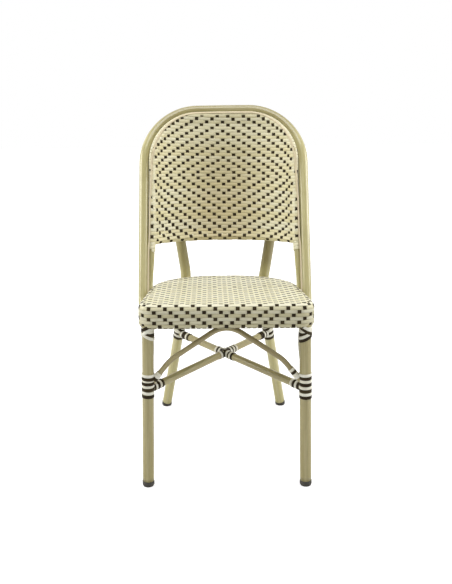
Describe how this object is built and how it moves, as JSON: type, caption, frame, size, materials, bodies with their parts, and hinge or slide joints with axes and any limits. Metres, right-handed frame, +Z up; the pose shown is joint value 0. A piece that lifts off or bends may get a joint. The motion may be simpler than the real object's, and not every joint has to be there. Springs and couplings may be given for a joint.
{
  "type": "bistro chair",
  "caption": "Stacking bistro side chair with a bent tube frame painted like bamboo, a woven back and seat, and two-colour strand bindings at the joints.",
  "frame": {"origin": "on the floor, under the middle of the chair's overall box", "axes": "+Z up, -Y towards the front of the chair, +X towards the right of someone who looks at its front"},
  "size_m": [0.4436, 0.528, 0.9011],
  "materials": {
    "painted_tube": "satin paint streaked like bamboo",
    "painted_leg": "satin paint streaked like bamboo",
    "bare_aluminium": "mill finish, hidden by the weave",
    "cream_strand": "satin extruded strand",
    "black_strand": "satin extruded strand",
    "glide_plastic": "matte moulded"
  },
  "bodies": {
    "root": {"arch_binding_left_black": "black_strand", "arch_binding_left_cream": "cream_strand", "arch_binding_right_black": "black_strand", "arch_binding_right_cream": "cream_strand", "arch_brace": "painted_tube", "back_hoop": "painted_tube", "back_rail": "bare_aluminium", "back_weave": "cream_strand", "corner_binding_left_black": "black_strand", "corner_binding_left_cream": "cream_strand", "corner_binding_right_black": "black_strand", "corner_binding_right_cream": "cream_strand", "cross_binding_front_left_black": "black_strand", "cross_binding_front_left_cream": "cream_strand", "cross_binding_front_right_black": "black_strand", "cross_binding_front_right_cream": "cream_strand", "cross_binding_rear_left_black": "black_strand", "cross_binding_rear_left_cream": "cream_strand", "cross_binding_rear_right_black": "black_strand", "cross_binding_rear_right_cream": "cream_strand", "edge_strip": "cream_strand", "front_leg_left": "painted_leg", "front_leg_right": "painted_leg", "glide_front_left": "glide_plastic", "glide_front_right": "glide_plastic", "glide_rear_left": "glide_plastic", "glide_rear_right": "glide_plastic", "leg_binding_left_black": "black_strand", "leg_binding_left_cream": "cream_strand", "leg_binding_right_black": "black_strand", "leg_binding_right_cream": "cream_strand", "rear_binding_left_black": "black_strand", "rear_binding_left_cream": "cream_strand", "rear_binding_right_black": "black_strand", "rear_binding_right_cream": "cream_strand", "rear_leg_left": "painted_leg", "rear_leg_right": "painted_leg", "seat_crossbar_front": "bare_aluminium", "seat_crossbar_rear": "bare_aluminium", "seat_frame": "bare_aluminium", "seat_weave": "cream_strand", "stretcher_binding_left_black": "black_strand", "stretcher_binding_left_cream": "cream_strand", "stretcher_binding_right_black": "black_strand", "stretcher_binding_right_cream": "cream_strand", "stretcher_front_half": "painted_tube", "stretcher_long": "painted_tube", "stretcher_rear_half": "painted_tube", "stretcher_tail_binding_left_black": "black_strand", "stretcher_tail_binding_left_cream": "cream_strand", "stretcher_tail_binding_right_black": "black_strand", "stretcher_tail_binding_right_cream": "cream_strand", "weave_ring": "painted_tube"}
  },
  "joints": []
}
